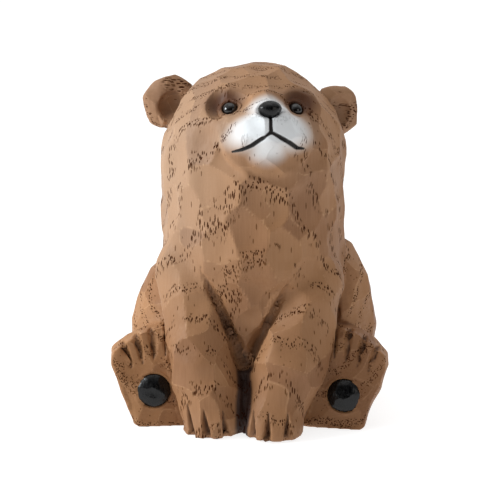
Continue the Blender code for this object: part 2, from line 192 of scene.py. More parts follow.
def refine(obj, centre, radius):
    """Splits the faces round a place into four, and rounds the new ones."""
    bm = bmesh.new()
    bm.from_mesh(obj.data)
    middle = Vector(centre) * MM
    reach = radius * MM
    edges = [e for e in bm.edges if all((v.co - middle).length < reach for v in e.verts)]
    bmesh.ops.subdivide_edges(bm, edges=edges, cuts=1, use_grid_fill=True)
    inside = [v for v in bm.verts if (v.co - middle).length < reach - MM]
    for _ in range(3):
        bmesh.ops.smooth_vert(bm, verts=inside, factor=0.5, use_axis_x=True, use_axis_y=True, use_axis_z=True)
    bm.to_mesh(obj.data)
    bm.free()


def soften(mesh, co, rounds, factor, share=1.0):
    """Rounds ridges a little, as sanding by hand does. share may differ from point to point."""
    ends = np.empty(len(mesh.edges) * 2, np.int32)
    mesh.edges.foreach_get("vertices", ends)
    ends = ends.reshape(-1, 2)
    count = np.bincount(ends.ravel(), minlength=len(co))[:, None]
    part = factor * np.broadcast_to(share, len(co))[:, None]
    for _ in range(rounds):
        total = np.zeros_like(co)
        for axis in range(3):
            total[:, axis] = np.bincount(ends[:, 0], co[ends[:, 1], axis], len(co))
            total[:, axis] += np.bincount(ends[:, 1], co[ends[:, 0], axis], len(co))
        co = co + (total / count - co) * part
    return co


def open_skin(co, neighbours):
    """1 on the open surface, falling to 0 where a joined piece lies close, and at the ground."""
    away = np.full(len(co), FAR)
    for node in neighbours:
        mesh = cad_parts[node].data
        tree = tree_of(mesh)
        low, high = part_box(node)
        low, high = np.array(low) / MM - NEAR, np.array(high) / MM + NEAR
        near = np.flatnonzero(((co > low) & (co < high)).all(axis=1))
        for i in near:
            found = tree.find_nearest(Vector(co[i]) * MM)
            away[i] = min(away[i], found[3] / MM)
    return ramp(away, *GLUE_LINE) * ramp(co[:, 2], *GROUND_EDGE)


def scatter(co, normal, allowed, spacing, stretch, grain, rng):
    """Places for gouge cuts, evenly spread: spacing across the grain, and stretch times that along it."""
    order = rng.permutation(np.flatnonzero(allowed > 0.9))[:MOST_STARTS]
    squeezed = co - np.outer(co @ grain, grain) * (1 - 1 / stretch)
    kept = []
    for i in order:
        if kept:
            gap = np.linalg.norm(squeezed[kept] - squeezed[i], axis=1)
            close = (gap < spacing) & (normal[kept] @ normal[i] > 0.2)
            if close.any():
                continue
        kept.append(i)
    return np.array(kept)


def wobble(co, length, size, rng):
    """Shifts points by slow waves of about this length and size, so that cuts meet in wavy lines."""
    out = np.zeros_like(co)
    for _ in range(5):
        way = rng.normal(0, 1, 3)
        way *= math.tau / length * rng.uniform(0.7, 1.5) / np.linalg.norm(way)
        out += np.sin(co @ way + rng.uniform(0, math.tau))[:, None] * rng.normal(0, 0.45, 3)
    return out * size


# How cuts meet: their borders waver, bend more along the grain, and keep to the side that they were cut from.
WOBBLE_LENGTH, WOBBLE_SIZE = 1.8, 0.13  # shares of the spacing
ALONG_BEND, TURNED_AWAY = 2.2, 12
MOST_STEP, MOST_SCOOP, RIDGE_WIDTH = 1.6, 6, 0.08
BATCH = 8000  # points carved at a time, to save memory


def gouge(co, normal, allowed, seed, spacing, stretch, grain, depth, tilt, bend, own=()):
    """Cuts the skin into shallow facets, as a wide gouge leaves it. bend is the curve that a cut takes off.

    own adds cuts at given places, as (point, normal). Returns the carved points, each point's facet tone
    from 0 to 1, and how close it is to a ridge.
    """
    rng = np.random.default_rng(seed)
    chosen = scatter(co, normal, allowed, spacing, stretch, grain, rng)
    at, face = co[chosen], normal[chosen]
    if len(own):
        own_at, own_face = np.array([spot for spot, _ in own]), np.array([way for _, way in own])
        free = (np.linalg.norm(at[:, None] - own_at[None], axis=2) > spacing).all(axis=1)
        at, face = np.vstack((at[free], own_at)), np.vstack((face[free], own_face))
    deep = depth * rng.uniform(0.3, 1.0, len(at))
    flat = bend * rng.uniform(0.9, 1.6, len(at))
    lean = rng.normal(0, math.tan(math.radians(tilt)), (len(at), 3))
    tones = rng.uniform(0, 1, len(at))
    carved = co.copy()
    bent = co + wobble(co, spacing * WOBBLE_LENGTH, spacing * WOBBLE_SIZE, rng)
    tone = np.zeros(len(co))
    ridge = np.zeros(len(co))
    for start in range(0, len(co), BATCH):
        rows = slice(start, start + BATCH)
        p, n = bent[rows], normal[rows]
        away = p[:, None] - at[None]
        along = away @ grain
        across2 = np.maximum((away**2).sum(axis=2) - along**2, 0)
        lift = flat * (across2 + (along / stretch) ** 2 * ALONG_BEND) - deep + (away * lean).sum(axis=2)
        lift += TURNED_AWAY * np.maximum(0.75 - n @ face.T, 0) ** 2
        two = np.partition(lift, 1, axis=1)[:, :2]
        step = MOST_STEP * np.tanh(two[:, 0] / MOST_STEP)
        carved[rows] += n * (step * allowed[rows])[:, None]
        tone[rows] = tones[lift.argmin(axis=1)]
        ridge[rows] = np.exp(-(two[:, 1] - two[:, 0]) / RIDGE_WIDTH) * allowed[rows]
    return carved, tone, ridge


def scoop(co, normal, axes, centre, radii):
    """Takes out an ellipsoid by pushing the skin back to its far side."""
    basis = axes / np.array(radii)[:, None]
    p = (co - centre) @ basis.T
    n = -normal @ basis.T
    a = (n**2).sum(axis=1)
    b = (p * n).sum(axis=1)
    c = (p**2).sum(axis=1) - 1
    root = np.sqrt(np.maximum(b * b - a * c, 0))
    push = np.minimum(np.where(c < 0, (-b + root) / a, 0), MOST_SCOOP)
    return co - normal * push[:, None]


def vee(co, normal, path, width, depth, swell):
    """Cuts a V groove along a path, with its swell from start to end. Returns points and depth, 0 to 1."""
    away, along = distance_to_path(co, path)
    size = np.interp(along, np.linspace(0, 1, len(swell)), swell)
    inside = np.clip(1 - away / np.maximum(width / 2 * size, 0.01), 0, 1)
    return co - normal * (inside * depth * size)[:, None], inside


def on_skin(tree, start, way):
    """The point and normal where a line first meets a skin."""
    hit = tree.ray_cast(Vector(start) * MM, Vector(way))
    return np.array(hit[0]) / MM, np.array(hit[1])


def on_front(tree, x, z):
    """The point and normal on the skin at (x, z), seen from the front."""
    return on_skin(tree, (x, -90, z), (0, 1, 0))


def on_face(tree, right, up):
    """The point and normal on the face's skin at (right, up)."""
    return on_skin(tree, HEAD + right * FACE[0] + up * FACE[1] + 80 * FACE[2], -FACE[2])


def sprayed(co, patches):
    """How strong the paint is at each point. Where patches overlap, the strongest counts.

    A patch has its middle, its radii, the shares of them where it ends and is full, and its strength.
    """
    paint = np.zeros(len(co))
    for centre, radii, end, full, strength in patches:
        paint = np.maximum(paint, strength * ramp(ellipsoid_share(co, centre, radii), end, full))
    return paint


# Body

BODY_GOUGE = {"spacing": 9.0, "stretch": 1.9, "grain": UP, "depth": 1.1, "tilt": 6.0, "bend": 0.02}
MUZZLE_GOUGE = {"spacing": 8.0, "stretch": 1.2, "grain": FACE[1], "depth": 0.5, "tilt": 2.0, "bend": 0.024}
BODY_SEED, MUZZLE_SEED = 8, 5

# The muzzle, which is carved more finely: middle and radii on the face.
MUZZLE, MUZZLE_RADII = (0, -6, 36), (19, 17, 18)

# Places whose skin is refined before carving, as middle and radius: face, mouth, and paws.
REFINED = (
    (HEAD + FACE[2] * 34 + FACE[1] * 2, 31),
    (HEAD + FACE[2] * 40 - FACE[1] * 8, 18),
    ((-2, -42, 22), 30),
)

# The mouth, as (right, up) points on the face, each row with its groove's size from start to end.
MOUTH = (
    (((0.0, -1.6), (-0.2, -4.0), (-0.4, -6.5), (-0.4, -8.9)), (0.85, 0.85, 0.85, 0.95)),
    (
        ((-0.4, -8.7), (-4.0, -10.8), (-7.6, -12.1), (-11.0, -12.6), (-14.4, -12.2)),
        (0.8, 1.0, 1.1, 1.0, 0.45),
    ),
    (
        ((-0.4, -8.7), (3.4, -10.7), (7.0, -12.0), (10.6, -12.5), (13.8, -12.0)),
        (0.8, 1.0, 1.05, 1.0, 0.45),
    ),
)
MOUTH_WIDTH, MOUTH_DEPTH = 2.1, 0.8

# Middles of the broad cuts on the front of the neck, chest, belly and legs, as (x, z) seen from the front.
CHEST_CUTS = (
    (-17, 115), (-8, 111), (-28, 109), (-14, 101), (-12, 89), (-14, 77), (1, 97), (11, 96),
    (1, 79), (14, 79), (20, 97), (30, 98), (26, 77), (-25, 92), (-25, 66), (-11, 66),
    (3.5, 63), (-1.5, 47), (-31, 44), (-20, 48), (-23, 30), (-12, 30), (15, 48), (5, 34),
    (26, 46), (16, 25), (27, 25), (12, 111), (24, 112), (-8, 17), (8, 14),
)

# Flats of the muzzle, as (right, up) points on the face.
MUZZLE_FLATS = (
    (-7.5, -5.0), (4.4, -5.2), (11.5, -5.0), (-4.5, 6.0), (4.5, 6.0), (-13.5, -4.0),
    (-5.0, -14.5), (4.5, -15.0), (-1.0, -20.0), (10.0, 2.5), (-9.0, 2.0),
)

# Hollows round the eyes: middles on the face, and radii.
EYE_HOLLOWS = (
    ((-15.5, 11.2, 42.0), (11.6, 11.4, 12.9)),
    ((-19.0, 11.5, 33.8), (6.2, 9.8, 8.0)),
    ((-8.5, 17.5, 39.5), (8.0, 7.5, 9.0)),
    ((15.0, 8.6, 42.0), (9.8, 10.0, 12.0)),
    ((9.0, 16.5, 40.0), (8.0, 7.0, 9.0)),
)

# Cuts between the front legs and the belly, and between the paws, as (x, z) seen from the front.
BELLY_CUTS = (
    ((-19.5, 68.0), (-15.0, 57.0), (-10.0, 46.0), (-5.5, 36.0), (-2.1, 27.0)),
    ((16.2, 63.0), (11.8, 54.0), (7.2, 44.5), (3.0, 36.0), (-0.9, 28.0)),
)
BELLY_WIDTH, BELLY_DEPTH, BELLY_SWELL = 5.6, 3.6, (0.25, 0.7, 0.9, 1.1, 1.3)
CREASE = ((-1.8, 30.0), (-1.8, 22.0), (-1.8, 14.0), (-1.8, 6.0), (-1.8, 0.0))
CREASE_WIDTH, CREASE_DEPTH, CREASE_SWELL = 3.4, 2.6, (0.5, 1.0, 1.0, 1.0, 1.0)
LOWEST = 0.6  # height of the lowest place where a line looks for the skin

# Notches between the front toes: x at the top, x at the ground, and the height of the top.
PAW_NOTCHES = (
    (-24.5, -22.6, 12.4), (-17.8, -15.9, 12.0), (-9.9, -8.2, 11.0),
    (2.1, 2.0, 11.0), (8.4, 7.8, 11.0), (16.0, 15.6, 11.0),
)

NOTCH_WIDTH, NOTCH_DEPTH, NOTCH_SWELL = 3.0, 2.5, (0.2, 0.7, 1.1, 1.4)

# Patches of paint, as sprayed() takes them. The airbrushed white and the cheeks' pale overspray are placed on
# the face, the belly's painted shade in the frame, and the eyes' airbrushed brown from each eye, with its
# side's sign on the first number.
WHITE_PAINT = (
    ((0.4, -6.4, 38), (13.0, 6.4, 26), 1.6, 0.75, 1.0),
    ((0.6, 0.8, 38), (6.8, 6.2, 14), 1.6, 0.6, 1.0),
    ((-0.8, -11.5, 34), (7.0, 5.8, 18), 1.5, 0.5, 0.85),
)
CHEEK_BLOOM = (((0, -4, 34), (24, 12, 26), 1.25, 0.7, 0.35),)
BELLY_SHADE = (((-1, -36, 44), (10, 40, 20), 1.3, 0.3, 0.4),)
EYE_UMBER_AT, EYE_UMBER_RADII = (2.0, 3.4, 0), (7.0, 5.6, 12)

JOINED_TO_BODY = (
    "left_ear", "right_ear", "left_hind_leg", "right_hind_leg", "left_eye", "right_eye", "nose",
    "left_leg_dowel_upper", "left_leg_dowel_lower", "right_leg_dowel_upper", "right_leg_dowel_lower",
)


def facet_body(obj, allowed):
    """Gouges the block, and the muzzle more finely. Returns points, tone and ridge."""
    co, normal = points_of(obj.data), normals_of(obj.data)
    at_muzzle = ramp(ellipsoid_share((co - HEAD) @ FACE.T, MUZZLE, MUZZLE_RADII), 1.1, 0.9)
    tree = tree_of(obj.data)
    broad = [on_front(tree, x, z) for x, z in CHEST_CUTS]
    co, tone, ridge = gouge(co, normal, allowed * (1 - at_muzzle), BODY_SEED, own=broad, **BODY_GOUGE)
    put_points(obj.data, co)
    tree = tree_of(obj.data)
    flats = [on_face(tree, *spot) for spot in MUZZLE_FLATS]
    co, fine_tone, fine_ridge = gouge(
        co, normals_of(obj.data), allowed * at_muzzle, MUZZLE_SEED, own=flats, **MUZZLE_GOUGE
    )
    put_points(obj.data, co)
    return co, tone * (1 - at_muzzle) + fine_tone * at_muzzle, np.maximum(ridge, fine_ridge)


def hollow_eyes(obj, co, allowed):
    normal = normals_of(obj.data)
    for centre, radii in EYE_HOLLOWS:
        hollowed = scoop(co, normal, FACE, HEAD + np.array(centre) @ FACE, radii)
        co = co + (hollowed - co) * allowed[:, None]
    put_points(obj.data, co)
    return co


def cut_creases(obj, co, allowed):
    """Cuts between legs and belly, between the paws and between their toes. Returns points and painted shade.
    """
    tree = tree_of(obj.data)
    normal = normals_of(obj.data)
    shade = np.zeros(len(co))
    cuts = np.zeros(len(co))
    for spots in BELLY_CUTS:
        path = [on_front(tree, x, z)[0] for x, z in spots]
        co, inside = vee(co, normal, path, BELLY_WIDTH, BELLY_DEPTH, BELLY_SWELL)
        # Painted shade in the belly's cuts.
        shade = np.maximum(shade, 0.5 * ramp(inside, 0.45, 1.0))
        cuts = np.maximum(cuts, inside)
    path = [on_front(tree, x, max(z, LOWEST))[0] for x, z in CREASE]
    co, inside = vee(co, normal, path, CREASE_WIDTH, CREASE_DEPTH, CREASE_SWELL)
    # Painted shade along the crease between the paws.
    shade = np.maximum(shade, ramp(distance_to_path(co, path)[0], 4.2, 2.4))
    cuts = np.maximum(cuts, inside)
    co = soften(obj.data, co, 2, 0.5, ramp(cuts, 0.0, 0.15))
    for top_x, foot_x, top_z in PAW_NOTCHES:
        path = []
        for t in (0, 0.35, 0.7, 1):
            path.append(on_front(tree, top_x + (foot_x - top_x) * t, top_z * (1 - t) + LOWEST)[0])
        co, inside = vee(co, normal, path, NOTCH_WIDTH, NOTCH_DEPTH, NOTCH_SWELL)
        # Painted shade in the paw notches.
        shade = np.maximum(shade, 0.7 * ramp(inside, 0.2, 0.8))
    co = soften(obj.data, co, 1, 0.3, allowed)
    put_points(obj.data, co)
    return co, shade


def cut_mouth(obj, co):
    """Cuts the mouth's grooves, and levels the base. Returns points and black."""
    tree = tree_of(obj.data)
    normal = normals_of(obj.data)
    black = np.zeros(len(co))
    for spots, swell in MOUTH:
        path = [on_face(tree, *spot)[0] for spot in spots]
        co, inside = vee(co, normal, path, MOUTH_WIDTH, MOUTH_DEPTH, swell)
        black = np.maximum(black, ramp(inside, 0.0, 0.3))
    co[:, 2] = np.maximum(co[:, 2], 0)
    put_points(obj.data, co)
    return co, black


def body_umber_and_painted_shade(co, normal):
    """Airbrushed brown round the eyes, painted shade on the front of the belly, and a little darker on all of
    the lower half.
    """
    umber_and_painted_shade = ramp(-normal[:, 1], 0.2, 0.8) * sprayed(co, BELLY_SHADE)
    for side, sign in SIDES.items():
        middle = np.array(EYE_UMBER_AT) * (sign, 1, 1)
        at_eye = ((middle, EYE_UMBER_RADII, 1.45, 0.5, 1.0),)
        umber_and_painted_shade = np.maximum(umber_and_painted_shade, sprayed((co - eye_centre(side)) @ FACE.T, at_eye))
    return np.maximum(umber_and_painted_shade, 0.12 * ramp(co[:, 2], 90, 40))


def body_overspray_and_painted_light(co):
    """Painted light on the right side and the head, which face the lamps, and pale overspray on the cheeks.
    """
    high, higher = ramp(co[:, 2], 40, 90), ramp(co[:, 2], 80, 110)
    painted_light = 0.04 + 0.3 * ramp(co[:, 0], 6, -42) * high + 0.06 * higher
    return np.maximum(painted_light, sprayed((co - HEAD) @ FACE.T, CHEEK_BLOOM))


def carve_body(finish):
    obj = fine_copy("body", 1.1, 2)
    for centre, radius in REFINED:
        refine(obj, centre, radius)
    allowed = open_skin(points_of(obj.data), JOINED_TO_BODY)
    co, tone, ridge = facet_body(obj, allowed)
    co = hollow_eyes(obj, co, allowed)
    co, shade = cut_creases(obj, co, allowed)
    normal = normals_of(obj.data)
    co, black = cut_mouth(obj, co)
    marks = {
        "tone": tone,
        "ridge": ridge,
        "shade": shade,
        "umber_and_painted_shade": body_umber_and_painted_shade(co, normal),
        "overspray_and_painted_light": body_overspray_and_painted_light(co),
        "white": sprayed((co - HEAD) @ FACE.T, WHITE_PAINT),
        "black": black,
    }
    put_marks(obj.data, marks)
    return dress(obj, finish, "carved_wood", "body")


EYE_RADIUS = 3.0


def eye_centre(side):
    co = points_of(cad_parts[side + "_eye"].data)
    local = (co - HEAD) @ FACE.T
    middle = (local.min(axis=0) + local.max(axis=0)) / 2
    return HEAD + np.array((middle[0], middle[1], local[:, 2].max() - EYE_RADIUS)) @ FACE


# Hind legs and ears

LEG_GRAIN = np.array((0.0, 0.9, 0.43))
LEG_GOUGE = {"spacing": 8.5, "stretch": 1.6, "grain": LEG_GRAIN, "depth": 1.0, "tilt": 4.5, "bend": 0.013}
EAR_GOUGE = {"spacing": 5.5, "stretch": 1.5, "grain": UP, "depth": 0.3, "tilt": 4.5, "bend": 0.022}
LEG_SEED, EAR_SEED = 21, 31

# Notches between the hind toes, in the foot's frame: x and z at the toe tips, then x and z where each ends.
TOE_NOTCHES = (
    (10.0, 33.6, 6.6, 24.0), (4.6, 36.8, 2.2, 26.0), (-1.6, 39.2, -2.4, 28.0), (-7.4, 40.0, -7.0, 29.0),
)
# Where each foot's frame starts, on the ground under the sole.
FEET = {"right": (-40.46, -33.8, 0.0), "left": (40.54, -33.8, 0.0)}
SOLE_TILT, SOLE_SPLAY = math.radians(8), math.radians(8)
TOE_WIDTH, TOE_DEPTH = 3.2, 2.6
TOE_SWELL = (0.3, 0.8, 1.0, 1.1, 1.0, 0.85, 0.6, 0.2)
TOE_BACKS = (9.0, 5.0, 2.0)  # how far behind the sole a notch starts, over the toe tips
TOE_SHARES = (0.12, 0.34, 0.56, 0.78, 1)  # and the shares of its way down the sole

# Painted shade on each sole, strongest on the left foot, which is away from the key lamp.
SOLE_SHADE = {"right": 0.1, "left": 0.4}
INNER_SHIFT = 2.2  # the foot's inner face moves in, to close the slit beside the front paw


def foot_turn(side):
    """X outward, -Y out of the sole, Z up the sole, as columns."""
    sign = SIDES[side]
    turn = np.array(Euler((-SOLE_TILT, 0, -sign * SOLE_SPLAY)).to_matrix())
    turn[:, 0] *= sign
    return turn


def carve_piece(obj, cuts, seed, neighbours):
    """Gouges a leg or an ear all over. Returns its points and its marks so far."""
    co, normal = points_of(obj.data), normals_of(obj.data)
    co, tone, ridge = gouge(co, normal, open_skin(co, neighbours), seed, **cuts)
    put_points(obj.data, co)
    return co, {"tone": tone, "ridge": ridge}


def toe_notch_path(tree, side, tip, end):
    """Points from behind the toe tips, over them and down the sole."""
    turn = foot_turn(side)
    path = []
    for back in TOE_BACKS:
        above = np.array((tip[0], back, 60)) @ turn.T + FEET[side]
        path.append(on_skin(tree, above, -turn[:, 2])[0])
    for t in TOE_SHARES:
        spot = (tip[0] + (end[0] - tip[0]) * t, 0, tip[1] + (end[1] - tip[1]) * t)
        on_sole = np.array(spot) @ turn.T + FEET[side]
        hit = tree.ray_cast(Vector(on_sole - 30 * turn[:, 1]) * MM, Vector(turn[:, 1]), 34 * MM)[0]
        path.append(on_sole if hit is None else np.array(hit) / MM)
    return path


def carve_leg(side, finish):
    node = side + "_hind_leg"
    sign = SIDES[side]
    obj = fine_copy(node, 0.65, 2)
    co, marks = carve_piece(obj, LEG_GOUGE, LEG_SEED + sign, ("body", side + "_paw_pad"))
    normal = normals_of(obj.data)
    tree = tree_of(obj.data)
    shade = np.zeros(len(co))
    for tip_x, tip_z, end_x, end_z in TOE_NOTCHES:
        path = toe_notch_path(tree, side, (tip_x, tip_z), (end_x, end_z))
        co, inside = vee(co, normal, path, TOE_WIDTH, TOE_DEPTH, TOE_SWELL)
        # Painted shade in the toe notches.
        shade = np.maximum(shade, 0.7 * ramp(inside, 0.3, 0.9))
    marks["shade"] = shade
    # Painted shade on the face of the sole.
    marks["umber_and_painted_shade"] = SOLE_SHADE[side] * ramp(-normal @ foot_turn(side)[:, 1], 0.5, 0.9)
    co = soften(obj.data, co, 2, 0.35)
    inner = ramp(-normal[:, 0] * sign, 0.5, 0.8) * ramp(co[:, 1], -14, -18) * ramp(co[:, 2], 34, 26)
    co[:, 0] -= sign * INNER_SHIFT * inner
    co[:, 2] = np.maximum(co[:, 2], 0)
    put_points(obj.data, co)
    put_marks(obj.data, marks)
    return dress(obj, finish, "carved_wood", node)


# Painted shade makes the ears' bowls a little browner, and painted light makes the ears as a whole a little
# paler.
EAR_BOWLS = {"right": (-33.3, -3.4, 128.0), "left": (31.3, 4.4, 121.7)}
EAR_BOWL_RADII, EAR_PAINTED_LIGHT = (7.0, 7.0, 8.0), 0.18


def carve_ear(side, finish):
    node = side + "_ear"
    obj = fine_copy(node, 0.4, 2)
    co, marks = carve_piece(obj, EAR_GOUGE, EAR_SEED + SIDES[side], ("body",))
    co = soften(obj.data, co, 3, 0.4)
    put_points(obj.data, co)
    # Painted shade in the bowl, and painted light over the whole ear.
    marks["umber_and_painted_shade"] = sprayed(co, ((EAR_BOWLS[side], EAR_BOWL_RADII, 1.15, 0.5, 0.35),))
    marks["overspray_and_painted_light"] = np.full(len(co), EAR_PAINTED_LIGHT)
    put_marks(obj.data, marks)
    return dress(obj, finish, "carved_wood", node)


# Eyes, nose and pads


def spun(bm, profile, steps):
    """Turns (radius, height) points round the Z axis into a closed form."""
    rail = [bm.verts.new((radius * MM, 0, height * MM)) for radius, height in profile]
    edges = [bm.edges.new(pair) for pair in zip(rail, rail[1:])]
    bmesh.ops.spin(
        bm, geom=rail + edges, cent=(0, 0, 0), axis=(0, 0, 1), dvec=(0, 0, 0),
        angle=math.tau, steps=steps, use_merge=True, use_duplicate=False,
    )
    bmesh.ops.remove_doubles(bm, verts=bm.verts, dist=0.01 * MM)
    bmesh.ops.recalc_face_normals(bm, faces=bm.faces)


def facing(way, at):
    """A frame with Z along a way, at a place in millimetres."""
    turn = Vector(way).to_track_quat("Z", "Y").to_matrix().to_4x4()
    return Matrix.Translation(Vector(at) * MM) @ turn


def make_eye(side, finish):
    """A glass bead on its shank."""
    turns = np.linspace(0, math.radians(162), 22)
    profile = [(EYE_RADIUS * math.sin(a), EYE_RADIUS * math.cos(a)) for a in turns]
    profile += [(0.9, -3.2), (0.9, -6.2), (0.7, -6.5), (0.0, -6.5)]
    bm = bmesh.new()
    spun(bm, profile, 48)
    bmesh.ops.transform(bm, matrix=facing(FACE[2], eye_centre(side)), verts=bm.verts)
    return dress(new_object(bm, side + "_eye_bead", 50), finish, "black_glass", side + "_eye")


NOSE_RADII = (4.6, 3.4, 3.4)
NOSE_TAPER = 0.34  # the share of its width that the nose loses from its middle to its lower edge


def make_nose(finish):
    co = points_of(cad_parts["nose"].data)
    local = (co - HEAD) @ FACE.T
    low, high = local.min(axis=0), local.max(axis=0)
    middle = ((low[0] + high[0]) / 2, (low[1] + high[1]) / 2, high[2] - NOSE_RADII[2])
    centre = HEAD + np.array(middle) @ FACE
    bm = bmesh.new()
    bmesh.ops.create_uvsphere(bm, u_segments=64, v_segments=40, radius=1)
    for vert in bm.verts:
        x, y, z = vert.co
        narrow = 1 - NOSE_TAPER * max(0.0, -y)
        vert.co = Vector((x * narrow * NOSE_RADII[0], y * NOSE_RADII[1], z * NOSE_RADII[2])) * MM
    turn = Matrix(FACE.T.tolist()).to_4x4()
    bmesh.ops.transform(bm, matrix=Matrix.Translation(Vector(centre) * MM) @ turn, verts=bm.verts)
    return dress(new_object(bm, "nose_dome"), finish, "black_lacquer", "nose")


PAD_RADIUS, PAD_HEIGHT = 6.8, 2.9
PAD_GOUGE = {"spacing": 4.2, "stretch": 1.1, "grain": UP, "depth": 0.12, "tilt": 2.0, "bend": 0.02}
PAD_SEED = 41


def make_pad(side, finish):
    """A lacquered dome with a few flats left by the knife."""
    node = side + "_paw_pad"
    sign = SIDES[side]
    out = Euler((-SOLE_TILT, 0, -sign * SOLE_SPLAY)).to_matrix() @ Vector((0, -1, 0))
    co = points_of(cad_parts[node].data)
    along = co @ np.array(out)
    front = along.max()
    rim = co[np.abs(along - (front - PAD_HEIGHT)) < 0.2]
    wide = rim[np.linalg.norm(rim - rim.mean(axis=0), axis=1) > 5]
    middle = (wide.min(axis=0) + wide.max(axis=0)) / 2
    turns = np.linspace(math.pi / 2, 0, 24)
    profile = [(PAD_RADIUS * math.cos(a), PAD_HEIGHT * math.sin(a)) for a in turns]
    profile += [(PAD_RADIUS * 0.97, -0.2), (0.0, -0.2)]
    bm = bmesh.new()
    spun(bm, profile, 96)
    bmesh.ops.transform(bm, matrix=facing(out, middle), verts=bm.verts)
    obj = new_object(bm, side + "_pad_dome", 50)
    co, normal = points_of(obj.data), normals_of(obj.data)
    front_face = ramp(normal @ np.array(out), 0.3, 0.7)
    co = gouge(co, normal, front_face, PAD_SEED + sign, **PAD_GOUGE)[0]
    put_points(obj.data, co)
    return dress(obj, finish, "black_lacquer", node)


# Materials

EASED = {"interpolation_type": "SMOOTHSTEP"}
WHITE = (1.0, 1.0, 1.0, 1.0)


def add(tree, kind, inputs, out=0, **settings):
    """Adds a node with its settings, fills its inputs with sockets or values, and returns one output."""
    node = tree.nodes.new("ShaderNode" + kind)
    for key, value in settings.items():
        setattr(node, key, value)
    for key, value in inputs.items():
        if isinstance(value, bpy.types.NodeSocket):
            tree.links.new(value, node.inputs[key])
        else:
            node.inputs[key].default_value = value
    return node.outputs[out] if len(node.outputs) else None


def new_material(name, turn=(0, 0, 0)):
    """A material with no nodes but its coordinates: millimetres along the piece's own axes, turned."""
    mat = bpy.data.materials.new(name)
    mat.use_nodes = True
    tree = mat.node_tree
    tree.nodes.clear()
    where = add(tree, "TexCoord", {}, "Object")
    return mat, tree, add(tree, "Mapping", {"Vector": where, "Scale": (1 / MM,) * 3, "Rotation": turn})


def per(*cell):
    """The scale at which a cell of these millimetres is one unit."""
    return [1 / c for c in cell]


RING_WIDTH, RING_WAVER, RING_LEAN = 7.5, 15.0, math.radians(-19)
PORE_CELL = (0.62, 0.62, 3.4)  # a dash is about half as wide and nearly as long


def early_wood(tree, mm, pith):
    """1 in the porous early wood of each year ring, 0 elsewhere. The rings lean, and waver."""
    wide = add(tree, "Mapping", {"Vector": mm, "Scale": per(26, 26, 40)})
    warp = add(tree, "TexNoise", {"Vector": wide, "Scale": 1.0, "Detail": 3.0}, "Color")
    warp = add(tree, "VectorMath", {0: warp, 1: (0.5,) * 3}, operation="SUBTRACT")
    warp = add(tree, "VectorMath", {0: warp, "Scale": RING_WAVER}, operation="SCALE")
    leaning = add(tree, "Mapping", {"Vector": mm, "Rotation": (RING_LEAN, 0, 0)})
    place = add(tree, "VectorMath", {0: leaning, 1: warp}, operation="ADD")
    place = add(tree, "VectorMath", {0: place, 1: pith}, operation="SUBTRACT")
    place = add(tree, "VectorMath", {0: place, 1: (1, 1, 0)}, operation="MULTIPLY")
    radius = add(tree, "VectorMath", {0: place}, "Value", operation="LENGTH")
    phase = add(tree, "Math", {0: radius, 1: RING_WIDTH}, operation="DIVIDE")
    phase = add(tree, "Math", {0: phase}, operation="FRACT")
    start = add(tree, "MapRange", {0: phase, 1: 0.0, 2: 0.08}, **EASED)
    end = add(tree, "MapRange", {0: phase, 1: 0.42, 2: 0.26}, **EASED)
    return add(tree, "Math", {0: start, 1: end}, operation="MULTIPLY")


def open_pores(tree, mm, early):
    """1 in the pores: dashes along the grain, in clumps on the early wood, and a few strays elsewhere."""
    narrow = add(tree, "Mapping", {"Vector": mm, "Scale": per(*PORE_CELL)})
    away = add(tree, "TexVoronoi", {"Vector": narrow, "Scale": 1.0}, "Distance")
    lottery = add(tree, "SeparateColor", {"Color": away.node.outputs["Color"]})
    wide = add(tree, "Mapping", {"Vector": mm, "Scale": per(6, 6, 7)})
    clump = add(tree, "TexNoise", {"Vector": wide, "Scale": 1.0, "Detail": 1.0}, "Fac")
    clump = add(tree, "MapRange", {0: clump, 1: 0.36, 2: 0.46}, **EASED)
    dash = add(tree, "MapRange", {0: away, 1: 0.46, 2: 0.34}, **EASED)
    common = add(tree, "Math", {0: lottery, 1: 0.2}, operation="GREATER_THAN")
    common = add(tree, "Math", {0: common, 1: clump}, operation="MULTIPLY")
    common = add(tree, "Math", {0: common, 1: early}, operation="MULTIPLY")
    stray = add(tree, "Math", {0: lottery, 1: 0.975}, operation="GREATER_THAN")
    stray = add(tree, "Math", {0: stray, 1: 0.6}, operation="MULTIPLY")
    drawn = add(tree, "Math", {0: common, 1: stray}, operation="MAXIMUM")
    return add(tree, "Math", {0: dash, 1: drawn}, operation="MULTIPLY")


